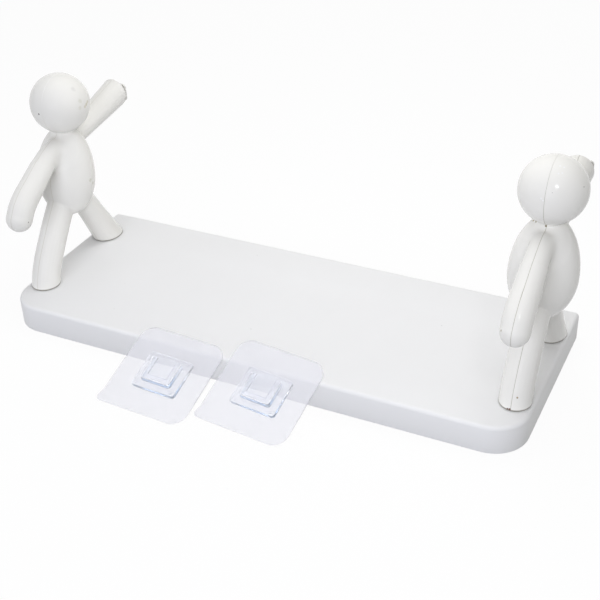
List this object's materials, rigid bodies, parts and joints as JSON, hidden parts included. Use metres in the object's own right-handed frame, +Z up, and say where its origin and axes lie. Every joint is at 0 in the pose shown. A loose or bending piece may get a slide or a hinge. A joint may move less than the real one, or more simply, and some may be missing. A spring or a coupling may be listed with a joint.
{
  "type": "adhesive wall shelf",
  "caption": "White moulded bathroom shelf carried by leaning ball-headed figures, with clear stick-on hook pads that the raised hands drop into.",
  "frame": {"origin": "centre of the board's underside, on the crossing of its middle ribs", "axes": "+X along the board to the right as seen from the front, +Y to the wall, +Z up"},
  "size_m": [0.377, 0.1915, 0.1558],
  "materials": {
    "white_gloss": "glossy white moulding",
    "white_satin": "satin white moulding",
    "clear_block": "clear moulding with a faint blue tint",
    "clear_film": "clear glossy film",
    "clear_gel": "clear soft adhesive",
    "liner": "thin translucent release liner",
    "screw_steel": "plated steel"
  },
  "bodies": {
    "shelf": {"left_figure_outer_half": "white_gloss", "left_figure_inner_half": "white_gloss", "left_front_foot_screw": "screw_steel", "left_back_foot_screw": "screw_steel", "right_figure_outer_half": "white_gloss", "right_figure_inner_half": "white_gloss", "right_front_foot_screw": "screw_steel", "right_back_foot_screw": "screw_steel", "shelf_board": "white_satin"},
    "left_pad": {"left_hook_block": "clear_block", "left_pad_film": "clear_film", "left_pad_adhesive": "clear_gel", "left_pad_liner": "liner"},
    "right_pad": {"right_hook_block": "clear_block", "right_pad_film": "clear_film", "right_pad_adhesive": "clear_gel", "right_pad_liner": "liner"}
  },
  "joints": [
    {"name": "left_pad_lift", "type": "slide", "parent": "shelf", "child": "left_pad", "axis": [0, 0, 1], "range_m": [0, 0.1]},
    {"name": "right_pad_lift", "type": "slide", "parent": "shelf", "child": "right_pad", "axis": [0, 0, 1], "range_m": [0, 0.1]}
  ]
}
